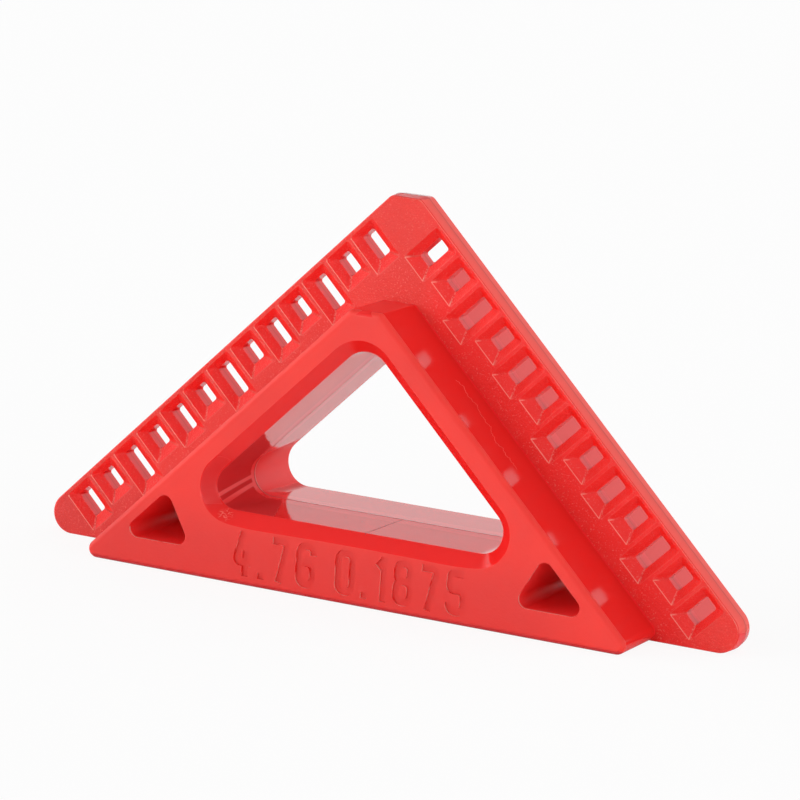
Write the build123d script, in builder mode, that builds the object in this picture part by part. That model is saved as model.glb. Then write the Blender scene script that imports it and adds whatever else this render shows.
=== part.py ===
from build123d import *
import os
from math import atan, degrees, radians, sqrt, tan

# Reveal gauge: a small right-angled hand gauge of red plastic. A thin plate with two slotted edges
# stands between two thick triangular fences, one on each face. Both slotted edges overhang the
# front fence's walls by one step and the rear fence's walls by a smaller one. A triangular window
# and two small corner recesses go right through. The gauge is two halves that meet on the middle
# plane of the plate, and every wall drafts away from that seam.
#
# Frame: X along the long resting edge, +Z up, the front faces -Y. The origin is on the resting
# face, under the apex, on the seam.

# Driving sizes, in millimetres and degrees
inch = 25.4
front_step = 3 / 16 * inch     # the offset that the front marks, from slotted edge to fence wall
rear_step = 1 / 8 * inch       # and the offset that the rear marks
slot_pitch = 3 / 32 * inch     # between slot centres, along an edge

# Plate. A peak is the height at which two legs would meet if the point weren't cut off
plate_thickness = 1.85
plate_peak = 27.05
plate_apex_cut = 1.1           # how much of the point is cut off
plate_foot_radius = 1.4
plate_apex_radius = 0.6
plate_draft = 0.09             # how far the edges stand out at the seam
plate_edge_radius = 0.1        # round of the face's outer edge

# Fence, one on each face of the plate
fence_rise = 4.9               # above the plate
front_fence_apex_cut = 1.15
rear_fence_apex_cut = 1.6
fence_foot_radius = 0.6
fence_apex_radius = 0.3
fence_draft = 0.035            # how far the walls lean in at the face
fence_edge_radius = 0.37       # round of the face's outer edge

# Window through both fences
leg_bar = 2.24                 # from window to front fence wall, at the seam
floor_bar = 4.77               # from window to resting face, at the seam
window_foot_radius = 1.47
window_apex_radius = 1.75
window_chamfer = 0.82
front_window_slope = 0.4       # how far the window's walls open from the seam, in degrees
rear_window_slope = 1.8

# Slots, and the sloped pocket round each slot on both faces
slots_per_edge = 13
first_slot = 4.595             # along the edge, from the peak to the first slot's centre
slot_width = 1.02
slot_radius = 0.17
slot_outer_end = 0.705         # this and the three inner ends are measured in from the edge
slot_inner_end = {"short": 2.15, "middle": 2.6, "long": 3.12}
slot_order = ["middle", "short", "long", "short"]
pocket_depth = 0.4
pocket_margin = 0.27           # plate left between pocket and edge
pocket_run = 0.76              # slope beyond the slot's inner end
pocket_radius = 0.12
pocket_round = 0.2             # round of the pocket's rim
rib_width = 0.27               # plate left between two pockets

# Corner recess, one beside each end of the window
recess_floor = 1.93            # above the resting face
recess_wall = 0.895            # left between recess and front fence wall
recess_width = 5.5
recess_slope = 61              # of the short side, from the floor
recess_radius = 0.6
recess_draft = 0.7

# Numbers sunk into each face: its step in millimetres and in inches
front_numbers = ["4.76", "0.1875"]
rear_numbers = ["3.18", "0.125"]
number_height = 3.0
number_floor = 0.62            # above the resting face
number_depth = 0.13
digit_width = 1.5
digit_gap = 0.42
word_gap = 1.35
stroke_width = 0.48
stroke_bend = 0.03             # smallest radius on the inside of a stroke's bend

# Each digit's strokes as shares of its middle line's box. A stroke is its corners' radii as shares
# of the box width, whether it closes, and its points
digit_width_share = {"1": 0.62, "7": 0.95, ".": 0.32}
digit_stroke_shares = {
    "0": [([0.45] * 4, True, [(0, 0), (1, 0), (1, 1), (0, 1)])],
    "1": [([], False, [(0, 0.8), (1, 1)]), ([], False, [(1, 1.08), (1, -0.08)])],
    "2": [([0.45, 0.45, 0.4, 0.2], False,
           [(0, 0.8), (0, 1), (1, 1), (1, 0.5), (0, 0), (1.1, 0)])],
    "3": [([0.45, 0.45, 0.4], False, [(0, 0.8), (0, 1), (1, 1), (1, 0.54), (0.3, 0.54)]),
          ([0.4, 0.45, 0.45], False, [(0.3, 0.54), (1, 0.54), (1, 0), (0, 0), (0, 0.2)])],
    "4": [([0.2], False, [(0.5, 1.08), (0, 0.28), (1.12, 0.28)]),
          ([], False, [(0.72, 0.6), (0.72, -0.08)])],
    "5": [([0.2, 0.2, 0.45, 0.45, 0.45], False,
           [(0.95, 1), (0.06, 1), (0, 0.56), (1, 0.56), (1, 0), (0, 0), (0, 0.22)])],
    "6": [([0.45] * 4, True, [(0, 0), (1, 0), (1, 0.56), (0, 0.56)]),
          ([0.45, 0.45], False, [(0, 0.28), (0, 1), (1, 1), (1, 0.78)])],
    "7": [([0.3], False, [(-0.15, 1), (1, 1), (0.4, -0.08)])],
    "8": [([0.45] * 4, True, [(0, 0), (1, 0), (1, 0.53), (0, 0.53)]),
          ([0.42] * 4, True, [(0.06, 0.53), (0.94, 0.53), (0.94, 1), (0.06, 1)])],
    ".": [([], False, [(0, -0.08), (0, 0.08)])],
}

# Sizes that follow
diagonal = sqrt(2)
leg_angle = 45
half_plate = plate_thickness / 2
face_depth = half_plate + fence_rise
slot_floor_depth = half_plate - pocket_depth
front_fence_peak = plate_peak - front_step * diagonal
window_peak = front_fence_peak - leg_bar * diagonal

# Both halves are drawn looking straight at their own face, from the seam outwards
front_seam = Plane.XZ
rear_seam = Plane(origin=(0, 0, 0), x_dir=(-1, 0, 0), z_dir=(0, 1, 0))


def triangular_block(plane, depth, peak, apex_cut, foot_radius, apex_radius, lean):
    # A right-angled block that stands on the resting face, its point cut off and its corners
    # rounded. Its walls lean in by the lean where it ends, and its outline is full at the plane
    foot = (peak, 0)
    shoulder = (apex_cut, peak - apex_cut)
    with BuildPart() as block:
        with BuildSketch(plane):
            with BuildLine():
                Polyline((-foot[0], 0), foot, shoulder, (-shoulder[0], shoulder[1]), close=True)
            make_face()
        extrude(amount=depth)
        walls = block.faces().filter_by(Axis.Y, reverse=True).sort_by(Axis.Z)[1:]
        draft(walls, neutral_plane=plane, angle=degrees(atan(lean / depth)))
        fillet(block.edges().group_by(Axis.Y)[1].group_by(Axis.Z)[0], foot_radius)
        fillet(block.edges().group_by(Axis.Y)[1].group_by(Axis.Z)[-1], apex_radius)
    return block.part


def window_outline(plane):
    foot = window_peak - floor_bar
    with BuildSketch(plane) as outline:
        with BuildLine():
            Polyline((-foot, floor_bar), (foot, floor_bar), (0, window_peak), close=True)
        make_face()
        fillet(outline.vertices().group_by(Axis.Y)[0], window_foot_radius)
        fillet(outline.vertices().group_by(Axis.Y)[-1], window_apex_radius)
    return outline.sketch


def slot_outline(plane, side, along, outer_end, inner_end, width, radius):
    # A rounded rectangle square to the right (1) or left (-1) edge
    middle = (outer_end + inner_end) / 2
    across = side * (along - middle) / diagonal
    up = plate_peak - (along + middle) / diagonal
    with BuildSketch(plane) as outline:
        with Locations((across, up)):
            RectangleRounded(width, inner_end - outer_end, radius, rotation=-side * leg_angle)
    return outline.sketch


def recess_outline(plane, side):
    # A rounded triangle: level floor, one side along the leg and one short steep side
    foot = front_fence_peak - recess_wall * diagonal - recess_floor
    heel = foot - recess_width
    rise = recess_width * tan(radians(recess_slope)) / (1 + tan(radians(recess_slope)))
    with BuildSketch(plane) as outline:
        with BuildLine():
            Polyline(
                (side * heel, recess_floor),
                (side * foot, recess_floor),
                (side * (foot - rise), recess_floor + rise),
                close=True,
            )
        make_face()
        fillet(outline.vertices(), recess_radius)
    return outline.sketch


def mark_width(mark):
    return digit_width_share.get(mark, 1) * digit_width


def word_length(word):
    return sum(mark_width(mark) for mark in word) + (len(word) - 1) * digit_gap


def number_outline(plane, words):
    # The numbers in one row, centred under the window
    stroke_height = number_height - stroke_width
    least_radius = stroke_width / 2 + stroke_bend
    row_length = sum(word_length(word) for word in words) + (len(words) - 1) * word_gap
    base = number_floor + stroke_width / 2
    left = -row_length / 2
    with BuildSketch(plane) as row:
        for word in words:
            for mark in word:
                width = mark_width(mark)
                span = width - stroke_width
                start = left + stroke_width / 2
                for corner_shares, closed, points in digit_stroke_shares[mark]:
                    places = [(start + x * span, base + y * stroke_height) for x, y in points]
                    radii = [max(share * span, least_radius) for share in corner_shares]
                    with BuildLine() as stroke:
                        if radii:
                            FilletPolyline(*places, radius=radii, close=closed)
                        else:
                            Polyline(*places)
                    trace(stroke.line, line_width=stroke_width)
                left += width + digit_gap
            left += word_gap - digit_gap
    return row.sketch


def build_half(seam, step, fence_apex_cut, window_slope, numbers):
    plate_face = seam.offset(half_plate)
    face = seam.offset(face_depth)
    outwards = Axis(seam.origin, seam.z_dir)
    seam_peak = plate_peak + plate_draft * diagonal
    fence_peak = plate_peak - step * diagonal
    with BuildPart() as half:
        # Half the plate, widest at the seam
        add(
            triangular_block(
                seam, half_plate, seam_peak, plate_apex_cut, plate_foot_radius, plate_apex_radius,
                plate_draft,
            )
        )

        # Each slot goes through the plate, and its pocket's slopes run out to the plate's face
        pocket_width = slot_pitch - rib_width
        for side in (1, -1):
            for place in range(slots_per_edge):
                along = first_slot + place * slot_pitch
                inner_end = slot_inner_end[slot_order[place % len(slot_order)]]
                slot_sizes = (side, along, slot_outer_end, inner_end, slot_width, slot_radius)
                pocket_ends = (pocket_margin, inner_end + pocket_run)
                loft(
                    [
                        slot_outline(seam, *slot_sizes),
                        slot_outline(seam.offset(slot_floor_depth), *slot_sizes),
                        slot_outline(plate_face, side, along, *pocket_ends, pocket_width, pocket_radius),
                    ],
                    ruled=True,
                    mode=Mode.SUBTRACT,
                )
        plate_front = half.faces().sort_by(outwards)[-1]
        fillet(plate_front.inner_wires().edges(), pocket_round)
        plate_front = half.faces().sort_by(outwards)[-1]
        fillet(plate_front.outer_wire().edges(), plate_edge_radius)

        # The fence, with its face's outer edge rounded. It fills what it covers of a pocket
        add(
            triangular_block(
                seam, face_depth, fence_peak, fence_apex_cut, fence_foot_radius, fence_apex_radius,
                fence_draft,
            )
        )
        fillet(half.faces().sort_by(outwards)[-1].edges(), fence_edge_radius)

        # The window opens a little from the seam, and its rim is chamfered
        extrude(window_outline(seam), amount=face_depth, taper=-window_slope, mode=Mode.SUBTRACT)
        chamfer(half.faces().sort_by(outwards)[-1].inner_wires().edges(), window_chamfer)

        # The corner recesses narrow a little towards the seam
        for side in (1, -1):
            extrude(
                recess_outline(face, side),
                amount=-face_depth,
                taper=recess_draft,
                mode=Mode.SUBTRACT,
            )
        extrude(number_outline(face, numbers), amount=-number_depth, mode=Mode.SUBTRACT)
    return half


front_half = build_half(
    front_seam, front_step, front_fence_apex_cut, front_window_slope, front_numbers
)
front_half.part.label = "front_half"

rear_half = build_half(rear_seam, rear_step, rear_fence_apex_cut, rear_window_slope, rear_numbers)
rear_half.part.label = "rear_half"

os.makedirs("parts", exist_ok=True)
export_step(front_half.part, "parts/front_half.step")
export_step(rear_half.part, "parts/rear_half.step")
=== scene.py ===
from math import cos, radians, sin

import bpy
from mathutils import Matrix, Vector


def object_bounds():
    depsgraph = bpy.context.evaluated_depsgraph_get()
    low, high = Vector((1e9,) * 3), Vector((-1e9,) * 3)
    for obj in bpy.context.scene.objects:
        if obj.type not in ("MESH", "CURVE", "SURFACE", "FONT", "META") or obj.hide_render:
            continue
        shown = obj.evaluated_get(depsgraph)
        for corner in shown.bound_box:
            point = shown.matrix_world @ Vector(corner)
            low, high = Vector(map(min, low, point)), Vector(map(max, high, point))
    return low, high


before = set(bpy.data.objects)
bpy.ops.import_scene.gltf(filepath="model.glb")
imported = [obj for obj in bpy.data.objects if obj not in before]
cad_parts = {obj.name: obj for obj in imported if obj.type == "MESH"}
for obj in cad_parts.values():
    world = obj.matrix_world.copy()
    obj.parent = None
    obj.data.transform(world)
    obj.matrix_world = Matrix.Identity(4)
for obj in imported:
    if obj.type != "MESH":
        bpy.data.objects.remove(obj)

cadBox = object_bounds()
mm = 0.001
faceDepth = cadBox[1][1] / mm  # from the seam to the face of either fence, in millimetres
apexHeight = cadBox[1][2] / mm
print("frame loaded:", ", ".join(sorted(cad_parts)))

# Camera, where the picture was taken from. Angles in degrees, lengths in metres
cameraPlace = {
    "azimuth": 26.089,  # to the right of the front face
    "elevation": 11.229,
    "roll": 3.721,
    "distance": 257.3 * mm,
    "target": (0.055 * mm, 0, 12.6 * mm),
    "lens": 178.63,
}


def addCamera(place):
    azimuth, elevation, roll = (radians(place[key]) for key in ("azimuth", "elevation", "roll"))
    outwards = Vector((sin(azimuth) * cos(elevation), -cos(azimuth) * cos(elevation), sin(elevation)))
    level = Vector((cos(azimuth), sin(azimuth), 0))
    upright = outwards.cross(level)
    right = level * cos(roll) + upright * sin(roll)
    up = upright * cos(roll) - level * sin(roll)
    camera = bpy.data.objects.new("camera", bpy.data.cameras.new("camera"))
    camera.data.lens = place["lens"]
    camera.matrix_world = Matrix((right, up, outwards)).transposed().to_4x4()
    camera.location = Vector(place["target"]) + outwards * place["distance"]
    bpy.context.collection.objects.link(camera)
    bpy.context.scene.camera = camera


addCamera(cameraPlace)
print("camera placed")


class Signal:
    # one socket of a node sheet, which can be used in sums
    def __init__(self, sheet, socket):
        self.sheet = sheet
        self.socket = socket

    def maths(self, operation, first, second):
        return self.sheet.node("ShaderNodeMath", {"operation": operation}, {0: first, 1: second})

    def __add__(self, other):
        return self.maths("ADD", self, other)

    def __radd__(self, other):
        return self.maths("ADD", other, self)

    def __sub__(self, other):
        return self.maths("SUBTRACT", self, other)

    def __rsub__(self, other):
        return self.maths("SUBTRACT", other, self)

    def __mul__(self, other):
        return self.maths("MULTIPLY", self, other)

    def __rmul__(self, other):
        return self.maths("MULTIPLY", other, self)

    def __abs__(self):
        return self.sheet.node("ShaderNodeMath", {"operation": "ABSOLUTE"}, {0: self})


class NodeSheet:
    # the nodes of one material or of the world
    def __init__(self, owner):
        owner.use_nodes = True
        self.tree = owner.node_tree
        self.tree.nodes.clear()

    def node(self, kind, settings, sockets, output=0):
        made = self.tree.nodes.new(kind)
        for name, value in settings.items():
            setattr(made, name, value)
        for name, value in sockets.items():
            if isinstance(value, Signal):
                self.tree.links.new(value.socket, made.inputs[name])
            else:
                made.inputs[name].default_value = value
        return Signal(self, made.outputs[output]) if made.outputs else None

    def between(self, value, ends, start=0, end=1):
        # goes smoothly from start to end while the value goes from the first of ends to the second
        return self.node(
            "ShaderNodeMapRange",
            {"interpolation_type": "SMOOTHSTEP"},
            {"Value": value, "From Min": ends[0], "From Max": ends[1], "To Min": start, "To Max": end},
        )

    def above(self, value, ends):
        return self.between(value, ends, 0, 1)

    def below(self, value, ends):
        return self.between(value, ends, 1, 0)

    def within(self, value, pairs):
        # rises between the ends of the first pair and falls between those of the second
        return self.above(value, pairs[0]) * self.below(value, pairs[1])

    def either(self, first, second):
        return self.node("ShaderNodeMath", {"operation": "MAXIMUM"}, {0: first, 1: second})

    def noise(self, place, pattern):
        scale, detail, roughness = pattern
        return self.node(
            "ShaderNodeTexNoise",
            {},
            {"Vector": place, "Scale": scale, "Detail": detail, "Roughness": roughness},
        )

    def axis(self, vector, letter):
        return self.node("ShaderNodeSeparateXYZ", {}, {0: vector}, letter)

    def vectorMaths(self, operation, first, second):
        return self.node("ShaderNodeVectorMath", {"operation": operation}, {0: first, 1: second}, "Value")

    def mixColour(self, share, first, second):
        return self.node("ShaderNodeMix", {"data_type": "RGBA"}, {0: share, 6: first, 7: second}, 2)

    def mixShader(self, share, first, second):
        return self.node("ShaderNodeMixShader", {}, {0: share, 1: first, 2: second})


def blend(share, first, second):
    return first + (second - first) * share


def outermost(node, depth):
    # how far out towards the slotted edges a half reaches, beyond this depth from the seam
    points = [vertex.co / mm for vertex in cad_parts[node].data.vertices]
    return max(abs(point.x) + point.z for point in points if abs(point.y) >= depth)


fenceEdge = 0.5  # the round edge along a fence's face is less deep than this
leanings = {"upRight": (0.707, 0, 0.707), "downRight": (0.707, 0, -0.707)}
noiseMiddle = 0.5


class Surface:
    # where a point of a half's plastic lies, in millimetres, and which way it faces
    def __init__(self, sheet, node):
        metres = sheet.node("ShaderNodeTexCoord", {}, {}, "Object")
        normal = sheet.node("ShaderNodeTexCoord", {}, {}, "Normal")
        scaled = {0: metres, "Scale": 1 / mm}
        self.place = sheet.node("ShaderNodeVectorMath", {"operation": "SCALE"}, scaled)
        self.x, self.y, self.z = (sheet.axis(self.place, letter) for letter in "XYZ")
        self.depth = abs(self.y)  # how far from the seam
        self.level = abs(self.x) + self.z  # how far out towards the slotted edges
        self.fromApex = self.z - apexHeight
        self.fromFace = self.depth - faceDepth
        self.fromPlate = self.level - outermost(node, 0)
        self.fromFence = self.level - outermost(node, faceDepth - fenceEdge)
        self.facing = abs(sheet.axis(normal, "Y"))  # 1 on a face, 0 on a wall
        self.upRight = sheet.vectorMaths("DOT_PRODUCT", normal, leanings["upRight"])
        self.downRight = sheet.vectorMaths("DOT_PRODUCT", normal, leanings["downRight"])


# Where the plastic changes, in millimetres and in shares of facing front or rear. A pair is the start
# and the end of a soft border, and two pairs are a part's two borders
zoneEnds = {
    "plate": (1.0, 1.2),  # depth of the plate's faces and pockets
    "sloped": (0.55, 0.7),  # facing of the pockets' slopes and the faces
    "flat": (0.93, 0.985),  # facing of the faces alone
    "slope": (0.88, 0.92),  # facing of the slopes alone, up to their round edges
    "edge": ((0.918, 0.93), (0.985, 0.994)),  # facing of those edges
    "edgeHighlight": (0.04, 0.12),  # how far an edge leans up to the right and no other way, for its painted highlight
    "innerEdge": ((0.893, 0.903), (0.92, 0.93)),  # facing of the edges' side towards the slope, with painted highlight dots
    "innerDownRight": (-0.15, -0.05),  # and only where they lean upwards
    "innerUpRight": (0.05, 0.15),
    "wall": (0.3, 0.5),  # facing of the slots' walls and the slotted edges
    "outer": (-0.68, -0.48),  # the slotted edges, from where they reach
    "apex": (-0.15, -0.10),
    "rimDepth": (-0.475, -0.375),  # the round edge along the fence's face, from that face
    "rim": (-0.82, -0.72),  # from the fence's slanting walls
    "window": (17.15, 17.65),  # level of its slanting walls
    "windowFloor": (4.27, 4.47),  # height
    "ridge": (0, 0.12),  # depth of the parting line's ridge in the window
    "rearSide": (-0.004, 0.004),  # behind the parting line
    "low": (2.0, 6.5),  # height of the low part, which has painted shade
    "lowRight": (12, 18),  # where it fades towards the right end
    "flangeShade": (1.0, 3.5),  # the plate to the right of its middle, where shade is painted
    "flangeTip": (20, 23.5),
    "recessSide": (9.5, 9.6),  # the corner recesses, from the middle
    "recessFloor": (1.6, 1.7),  # their height
    "recessFacing": (0.4, 0.5),
    "recess": (-0.57, -0.47),  # from the fence's slanting walls
    "seam": (0.032, 0.08),  # depth
    "soleShade": (0.15, 0.4),  # height of the painted shade along the bottom edges
    "soleDepth": (-0.625, -0.425),  # from the fence's face
    "nearFence": (0.83, 3.23),  # from the fence's slanting walls
    "number": (0.03, 0.05),  # from the floor of the sunken numbers
    "brinkDepth": (-0.165, -0.145),  # the walls round the numbers, from the fence's face
    "brinkFacing": (0.5, 0.7),
    "brink": (-1.47, -1.37),  # from the fence's slanting walls
}
numberDepth = 0.13


class Zones:
    # the parts of the plastic that look different, as masks from 0 to 1
    def __init__(self, sheet, look, at, ends):
        self.plate = sheet.below(at.depth, ends["plate"])
        self.plateFace = self.plate * sheet.above(at.facing, ends["sloped"])
        self.slope = self.plateFace * sheet.below(at.facing, ends["slope"])
        flat = sheet.above(at.facing, ends["flat"])
        self.rim = sheet.above(at.fromFence, ends["rim"]) * sheet.above(at.fromFace, ends["rimDepth"])
        self.satin = sheet.either(sheet.either(self.plateFace, flat), self.rim)

        # Round edges of the pockets with a painted highlight, most of all on those that lean up to the
        # right
        edgeHighlight = sheet.between(at.upRight - abs(at.downRight), ends["edgeHighlight"], *look["edgeHighlightShares"])
        self.edge = self.plate * sheet.within(at.facing, ends["edge"]) * edgeHighlight
        self.innerEdge = self.plate * sheet.within(at.facing, ends["innerEdge"])
        self.innerEdge = self.innerEdge * sheet.below(at.downRight, ends["innerDownRight"])
        self.innerEdge = self.innerEdge * sheet.above(at.upRight, ends["innerUpRight"])
        self.nearFence = sheet.between(at.fromFence, ends["nearFence"], *look["fleckShares"])

        # Flat apex, slotted edges, slots, window and corner recesses
        self.apex = sheet.above(at.fromApex, ends["apex"])
        wall = self.plate * sheet.below(at.facing, ends["wall"]) * (1 - self.apex)
        self.outer = wall * sheet.above(at.fromPlate, ends["outer"])
        self.slot = wall * sheet.below(at.fromPlate, ends["outer"])
        self.window = sheet.below(at.level, ends["window"]) * sheet.above(at.z, ends["windowFloor"])
        self.recess = sheet.above(abs(at.x), ends["recessSide"]) * sheet.above(at.z, ends["recessFloor"])
        self.recess = self.recess * sheet.below(at.facing, ends["recessFacing"])
        self.recess = self.recess * sheet.below(at.fromFence, ends["recess"])

        # Painted shade on the low part, and on the right flange, which lies in the fence's shadow; both
        # less at the right end
        self.low = sheet.between(at.x, ends["lowRight"], 1, look["rightShare"])
        self.low = self.low * sheet.below(at.z, ends["low"])
        self.flangeShade = sheet.between(at.x, ends["flangeTip"], 1, look["rightShare"])
        self.flangeShade = self.flangeShade * self.plate * sheet.above(at.x, ends["flangeShade"])

        # Seam, its ridge in the window, painted shade along the bottom edges, and numbers
        self.seam = sheet.below(at.depth, ends["seam"]) * (1 - self.window)
        self.ridge = sheet.below(at.depth, ends["ridge"]) * self.window
        self.rearSide = sheet.above(at.y, ends["rearSide"])
        self.soleShade = sheet.below(at.z, ends["soleShade"]) * sheet.above(at.fromFace, ends["soleDepth"])
        self.number = sheet.below(abs(at.fromFace + numberDepth), ends["number"]) * flat
        self.brink = sheet.above(at.fromFace, ends["brinkDepth"]) * sheet.below(at.fromFence, ends["brink"])
        self.brink = self.brink * sheet.below(at.facing, ends["brinkFacing"])


# Moulded red plastic
redPlastic = {
    # colours, linear
    "colour": (0.87, 0.030, 0.018, 1),
    "deepAndShadeColour": (0.74, 0.023, 0.016, 1),  # random clouds, the seam and the numbers' floors, and painted shade on the low part and on the numbers' walls
    "flangeShadeColour": (0.92, 0.012, 0.009, 1),  # painted shade: the right flange of the plate, redder and less pale
    "wallColour": (0.85, 0.020, 0.018, 1),
    "slopeColour": (0.95, 0.013, 0.009, 1),  # slopes of the pockets
    "slotGlowColour": (1.0, 0.035, 0.040, 1),  # walls of the slots, painted brighter for the light they pass on
    "outerLitColour": (1.0, 0.070, 0.050, 1),  # slotted edges of the plate, with painted light that makes them brighter and paler
    "highlightAndScuffColour": (1.0, 0.27, 0.21, 1),  # painted highlight on the pockets' round edges, and scuffs
    "recessGlowColour": (0.97, 0.030, 0.030, 1),  # walls of the corner recesses, painted brighter for the light they pass on
    "paleAndHighlightColour": (0.95, 0.15, 0.12, 1),  # flecks and the flow line, and painted highlight dots on the pockets' inner edges
    "glintColour": (1.0, 0.50, 0.44, 1),  # painted highlights along the numbers' edges and behind the parting line
    "markAndShadeColour": (0.20, 0.02, 0.03, 1),  # specks and a dark line on the window's floor, the torn gate, and painted shade along the bottom edges and before the parting line
    # painted shade: a dark reflection in the window's front left corner, and darker on the chamfer's corner
    "dullShadeColour": (0.62, 0.004, 0.007, 1),
    # scale, detail and roughness of each noise
    "cloudNoise": (0.22, 2, 0.5),
    "grainNoise": (8.0, 3, 0.65),
    "waveNoise": (0.5, 1, 0.5),
    "fleckNoise": (9.0, 2, 0.5),
    "glintNoise": (0.7, 2, 0.5),
    # which of its values show
    "clouds": (0.35, 0.65),
    "flecks": (0.60, 0.68),
    "innerHighlights": (0.45, 0.55),
    "glints": (0.40, 0.55),
    "glintUpRight": (0, 0.3),  # glints lie on walls that lean up to the right
    # how much of a colour lies in its place
    "cloudShare": 0.4,
    "rightShare": 0.2,  # of the painted shade on the low part and the flange, at the right end
    "edgeHighlightShares": (0.12, 0.95),  # of the painted highlight on other edges, and on those that lean up to the right
    "seamShare": 0.35,
    "outerSeamShare": 0.25,  # more of it on the slotted edges
    "soleShare": 0.45,
    "ridgeShares": (0.4, 0.6),  # painted shade before the parting line and painted highlight behind it
    "fleckShares": (0.65, 0.35),  # beside the fence and away from it
    "innerHighlightShare": 0.8,
    # of the darker floors of the numbers, and of the painted shade on their walls
    "numberShare": 0.6,
    "glintShare": 0.65,
    # polish
    "ior": 1.5,
    "faceRoughness": 0.42,
    "edgeRoughness": 0.12,
    "wallRoughness": 0.14,
    "windowRoughness": 0.06,
    "outerRoughness": 0.5,
    "rimDulling": 0.15,
    "numberPolish": 0.12,
    "apexPolish": 0.08,
    # relief, in millimetres
    "plateGrain": 0.084,
    "faceGrain": 0.014,
    "waveHeight": 0.006,
    "ridgeHeight": 0.035,
    # light that passes under the skin
    "glow": 0.5,
    "glowDepth": 0.7 * mm,
    "glowShares": (1.0, 0.22, 0.18),
}


def plasticColour(sheet, look, at, zones):
    cloud = sheet.noise(at.place, look["cloudNoise"])
    cloud = sheet.between(cloud, look["clouds"], 0, look["cloudShare"])
    flecks = sheet.noise(at.place, look["fleckNoise"])
    fleck = sheet.above(flecks, look["flecks"]) * zones.plateFace * zones.nearFence
    # painted highlight dots along the pockets' inner edges
    innerHighlight = sheet.above(flecks, look["innerHighlights"]) * zones.innerEdge * look["innerHighlightShare"]
    glint = sheet.above(sheet.noise(at.place, look["glintNoise"]), look["glints"])
    glint = glint * sheet.above(at.upRight, look["glintUpRight"]) * zones.brink
    dark, pale = look["ridgeShares"]
    coats = (
        # random clouds, and painted shade on the low part
        (sheet.either(cloud, zones.low), "deepAndShadeColour"),
        # painted shade on the right flange
        (zones.flangeShade, "flangeShadeColour"),
        (1 - zones.satin, "wallColour"),
        (zones.slope, "slopeColour"),
        # painted light on the walls of the slots
        (zones.slot, "slotGlowColour"),
        # painted light on the slotted edges
        (zones.outer, "outerLitColour"),
        # painted highlight on the pockets' round edges
        (zones.edge, "highlightAndScuffColour"),
        # painted light on the walls of the corner recesses
        (zones.recess, "recessGlowColour"),
        (zones.seam * (look["seamShare"] + zones.outer * look["outerSeamShare"]), "deepAndShadeColour"),
        # painted shade along the bottom edges
        (zones.soleShade * look["soleShare"], "markAndShadeColour"),
        # painted shade before the parting line and painted highlight behind it, on its ridge
        (zones.ridge * (1 - zones.rearSide) * dark, "markAndShadeColour"),
        (zones.ridge * zones.rearSide * pale, "glintColour"),
        # flecks, and painted highlight dots on the pockets' inner edges
        (sheet.either(fleck, innerHighlight), "paleAndHighlightColour"),
        # darker floors of the numbers, painted shade on their walls, and painted highlights along them
        (zones.number * look["numberShare"], "deepAndShadeColour"),
        (zones.brink * look["numberShare"], "deepAndShadeColour"),
        (glint * look["glintShare"], "glintColour"),
    )
    colour = look["colour"]
    for share, coat in coats:  # each lies over those before it
        colour = sheet.mixColour(share, colour, look[coat])
    return colour


def plasticRoughness(sheet, look, zones):
    roughness = blend(zones.window, look["wallRoughness"], look["windowRoughness"])
    roughness = blend(zones.satin, roughness, look["faceRoughness"])
    roughness = blend(zones.edge, roughness, look["edgeRoughness"])
    roughness = blend(sheet.either(zones.outer, zones.recess), roughness, look["outerRoughness"])
    roughness = roughness + zones.rim * look["rimDulling"] - zones.number * look["numberPolish"]
    return roughness - zones.apex * (1 - zones.satin) * look["apexPolish"]


def plasticRelief(sheet, look, at, zones):
    # in millimetres. Faces and pockets have a grain, and every other wall is polished and wavy
    coarse = blend(zones.plate, look["faceGrain"], look["plateGrain"])
    grain = sheet.noise(at.place, look["grainNoise"]) * coarse
    wave = sheet.noise(at.place, look["waveNoise"]) * look["waveHeight"]
    return blend(zones.satin, wave, grain) + zones.ridge * look["ridgeHeight"]


def plasticMaterial(name, look, node, addMarks):
    material = bpy.data.materials.new(name)
    sheet = NodeSheet(material)
    at = Surface(sheet, node)
    zones = Zones(sheet, look, at, zoneEnds)
    colour = plasticColour(sheet, look, at, zones)
    roughness = plasticRoughness(sheet, look, zones)
    relief = plasticRelief(sheet, look, at, zones)
    if addMarks:
        colour, roughness, relief = addMarks(sheet, look, at, colour, roughness, relief)
    bump = sheet.node("ShaderNodeBump", {}, {"Strength": 1.0, "Distance": mm, "Height": relief})
    plastic = sheet.node(
        "ShaderNodeBsdfPrincipled",
        {},
        {
            "Base Color": colour,
            "Roughness": roughness,
            "IOR": look["ior"],
            "Subsurface Weight": look["glow"],
            "Subsurface Radius": look["glowShares"],
            "Subsurface Scale": look["glowDepth"],
            "Normal": bump,
        },
    )
    sheet.node("ShaderNodeOutputMaterial", {}, {"Surface": plastic})
    return material


# Marks of moulding and use, and painted shade, on the front half, in millimetres. Depths are negative, in
# front of the seam. Each mark has a mask, and its share says how much of its colour lies there
flowLine = {  # faint and wandering, on the right wall of the fence
    "slant": 0.7071,  # cosine of the wall's 45 degrees
    "stretch": ((-7.1, -6.8), (-0.1, 0.2)),  # along the wall
    "turn": (-5.1, -1.8),  # where it goes over from its first depth to its second
    "depths": (-2.55, -3.25),
    "noise": (0.75, 5, 0.65),
    "sway": 2.3,
    "width": (0.014, 0.042),
    "wall": (0.1, 0.2),  # from the wall
    "colour": "paleAndHighlightColour",
    "share": 0.75,
    "roughness": 0.5,
    "height": 0.01,
}


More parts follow.
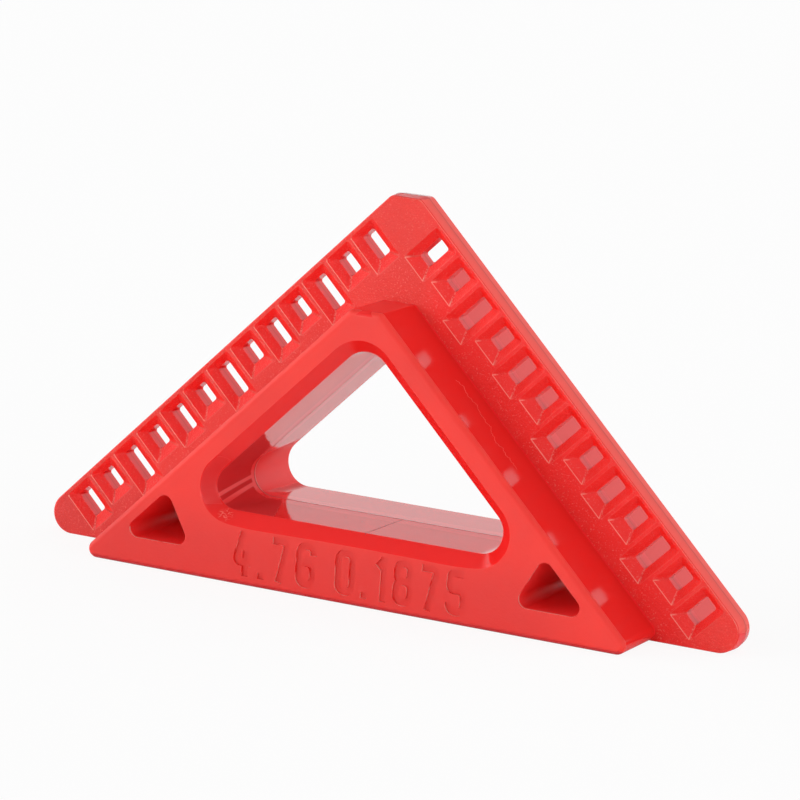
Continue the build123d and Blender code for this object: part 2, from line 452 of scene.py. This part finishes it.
def flowMask(sheet, at, look):
    along = (at.x - at.z) * look["slant"]
    sway = sheet.noise(sheet.node("ShaderNodeCombineXYZ", {}, {"X": along}), look["noise"]) - noiseMiddle
    line = sheet.between(along, look["turn"], *look["depths"]) + sway * look["sway"]
    flow = sheet.below(abs(at.y - line), look["width"]) * sheet.within(along, look["stretch"])
    return flow * sheet.below(abs(at.fromFence), look["wall"])


scuffs = {  # short strokes in the lower left corner of the window's chamfer
    "place": (-9.35, -5.4, 4.4),
    "reach": (0.31, 0.62),
    "turn": (0, 0.9, 0),  # in radians
    "squeeze": (1, 1, 5),
    "noise": (1.5, 2, 0.6),
    "width": (0.015, 0.035),
    "colour": "highlightAndScuffColour",
    "share": 0.55,
    "roughness": 0.5,
}


def scuffMask(sheet, at, look):
    turned = {"Vector": at.place, "Rotation": look["turn"], "Scale": look["squeeze"]}
    strokes = sheet.noise(sheet.node("ShaderNodeMapping", {}, turned), look["noise"]) - noiseMiddle
    away = sheet.vectorMaths("DISTANCE", at.place, look["place"])
    return sheet.below(abs(strokes), look["width"]) * sheet.below(away, look["reach"])


floorMarks = {  # one dark line across the window's floor, and a few specks on it
    "floor": 4.77,
    "floorReach": (0.1, 0.15),
    "lineSide": 0.85,
    "lineSlant": 0.03,
    "lineWidth": (0, 0.05),
    "speckScale": 0.9,
    "speckReach": (0.03, 0.06),
    "colour": "markAndShadeColour",
    "share": 0.9,
    "roughness": 0.81,
}


def floorMask(sheet, at, look):
    beside = abs(at.x - look["lineSide"] - at.y * look["lineSlant"])
    pattern = {"Vector": at.place, "Scale": look["speckScale"]}
    specks = sheet.node("ShaderNodeTexVoronoi", {}, pattern, "Distance")
    dark = sheet.either(sheet.below(beside, look["lineWidth"]), sheet.below(specks, look["speckReach"]))
    return dark * sheet.below(abs(at.z - look["floor"]), look["floorReach"])


dullShadePatch = {  # painted dark reflection on a rougher patch in the window's front left corner, up to a ragged line and with two paler streaks
    "noise": (1.6, 3, 0.7),
    "raggedness": 0.6,
    "side": (-9.15, -9.05),  # where the line runs at the seam
    "slant": 0.4,  # and how far it leans for each millimetre of depth
    "floor": (4.85, 5.0),
    "floorShift": 1.1,  # the patch reaches farther on the window's floor
    "bottom": (4.6, 4.65),
    "depths": ((-5.05, -4.95), (-0.6, -0.4)),
    "level": (17.3, 17.4),
    "streakHeight": 5.8,
    "streakRise": 0.1,
    "streakGap": 0.24,  # from the middle between the two streaks
    "streakWidth": (0.08, 0.14),
    "streakSide": (-9.8, -9.6),
    "streakShare": 0.8,
    "colour": "dullShadeColour",
    "share": 0.9,
    "roughness": 0.9,
}


def dullShadeMask(sheet, at, look):
    front, rear = look["depths"]
    ragged = (sheet.noise(at.place, look["noise"]) - noiseMiddle) * look["raggedness"]
    shift = sheet.between(at.z, look["floor"], look["floorShift"], 0)
    dullShade = sheet.below(at.x + at.y * look["slant"] + ragged - shift, look["side"])
    dullShade = dullShade * sheet.below(at.y + ragged, rear) * sheet.above(at.y, front)
    dullShade = dullShade * sheet.below(at.level, look["level"]) * sheet.above(at.z, look["bottom"])
    middle = abs(at.z - at.y * look["streakRise"] - look["streakHeight"])
    streak = sheet.below(abs(middle - look["streakGap"]), look["streakWidth"])
    streak = streak * sheet.below(at.x, look["streakSide"])
    return dullShade * (1 - streak * look["streakShare"])


dullShadeCorner = {  # painted shade, rougher too, on the chamfer's rounded corner, without the fence's face and the recess beside it
    "across": ((-11.4, -11.25), (-9.9, -8.2)),
    "depths": ((-0.825, -0.725), (-0.065, -0.025)),  # from the fence's face
    "heights": ((4.4, 5.6), (6.8, 9.6)),
    "colour": "dullShadeColour",
    "share": 0.4,
    "roughness": 0.6,
}


def cornerShadeMask(sheet, at, look):
    corner = sheet.within(at.x, look["across"]) * sheet.within(at.fromFace, look["depths"])
    return corner * sheet.within(at.z, look["heights"])


gateSpot = {  # torn, on the flat apex
    "bottom": (-0.17, -0.15),
    "noise": (2.2, 3, 0.7),
    "torn": (0.45, 0.6),
    "colour": "markAndShadeColour",
    "share": 0.2,
    "height": 0.016,
}


def gateMask(sheet, at, look):
    torn = sheet.above(sheet.noise(at.place, look["noise"]), look["torn"])
    return torn * sheet.above(at.fromApex, look["bottom"])


frontMarks = (
    (flowMask, flowLine),
    (scuffMask, scuffs),
    (floorMask, floorMarks),
    (dullShadeMask, dullShadePatch),
    (cornerShadeMask, dullShadeCorner),
    (gateMask, gateSpot),
)


def addFrontMarks(sheet, look, at, colour, roughness, relief):
    for makeMask, mark in frontMarks:
        mask = makeMask(sheet, at, mark)
        colour = sheet.mixColour(mask * mark["share"], colour, look[mark["colour"]])
        if "roughness" in mark:
            roughness = sheet.either(roughness, mask * mark["roughness"])
        if "height" in mark:
            relief = relief + mask * mark["height"]
    return colour, roughness, relief


def dressNode(node, material):
    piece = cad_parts[node]
    piece.data.materials.clear()
    piece.data.materials.append(material)


dressNode("front_half", plasticMaterial("frontPlastic", redPlastic, "front_half", addFrontMarks))
dressNode("rear_half", plasticMaterial("rearPlastic", redPlastic, "rear_half", None))
print("plastic finished")

# Pale floor, and soft boxes of light round the object. A box has its direction, the cosines where it
# is full and where it ends, and its strength
studio = {
    "floorSize": 3.0,
    "floorColour": (0.97, 0.97, 0.97, 1),
    "floorWhite": 0.90,  # how much of plain white the camera sees in the floor
    "surround": 0.35,
    "horizon": 0.65,  # more of it from low down
    "horizonEnds": (0.18, 0.34),
    "boxes": {
        "rightBehind": ((0.50, 0.55, 0.67), 1.0, 0.60, 1.05),
        "leftFront": ((-0.90, -0.40, 0.20), 0.90, 0.74, 2.8),
        "right": ((0.95, -0.25, 0.12), 0.90, 0.74, 1.4),
        "behindLeft": ((-0.45, 0.87, 0.12), 0.98, 0.90, 0.20),
        "frontStrip": ((-0.10, -0.986, 0.134), 0.992, 0.983, 9.0),
    },
}


def addFloor(look):
    half = look["floorSize"] / 2
    corners = [(-half, -half, 0), (half, -half, 0), (half, half, 0), (-half, half, 0)]
    mesh = bpy.data.meshes.new("floor")
    mesh.from_pydata(corners, [], [(0, 1, 2, 3)])
    floor = bpy.data.objects.new("floor", mesh)
    bpy.context.collection.objects.link(floor)
    material = bpy.data.materials.new("paleFloor")
    sheet = NodeSheet(material)
    plain = sheet.node("ShaderNodeBsdfDiffuse", {}, {"Color": look["floorColour"]})
    white = sheet.node("ShaderNodeEmission", {}, {"Color": (1, 1, 1, 1), "Strength": 1.0})
    seen = sheet.node("ShaderNodeLightPath", {}, {}, "Is Camera Ray") * look["floorWhite"]
    sheet.node("ShaderNodeOutputMaterial", {}, {"Surface": sheet.mixShader(seen, plain, white)})
    mesh.materials.append(material)


def addWorld(look):
    world = bpy.data.worlds.new("studio")
    bpy.context.scene.world = world
    sheet = NodeSheet(world)
    direction = sheet.node("ShaderNodeTexCoord", {}, {}, "Generated")
    height = sheet.axis(direction, "Z")
    light = look["surround"] + sheet.between(height, look["horizonEnds"], look["horizon"], 0)
    for towards, full, end, strength in look["boxes"].values():
        towards = tuple(Vector(towards).normalized())
        near = sheet.vectorMaths("DOT_PRODUCT", direction, towards)
        light = light + sheet.between(near, (end, full), 0, strength)
    seen = sheet.node("ShaderNodeLightPath", {}, {}, "Is Camera Ray")
    sky = sheet.node("ShaderNodeBackground", {}, {"Strength": light * (1 - seen) + seen})
    sheet.node("ShaderNodeOutputWorld", {}, {"Surface": sky})


addFloor(studio)
addWorld(studio)
bpy.context.scene.view_settings.view_transform = "Standard"
print("floor and light set")
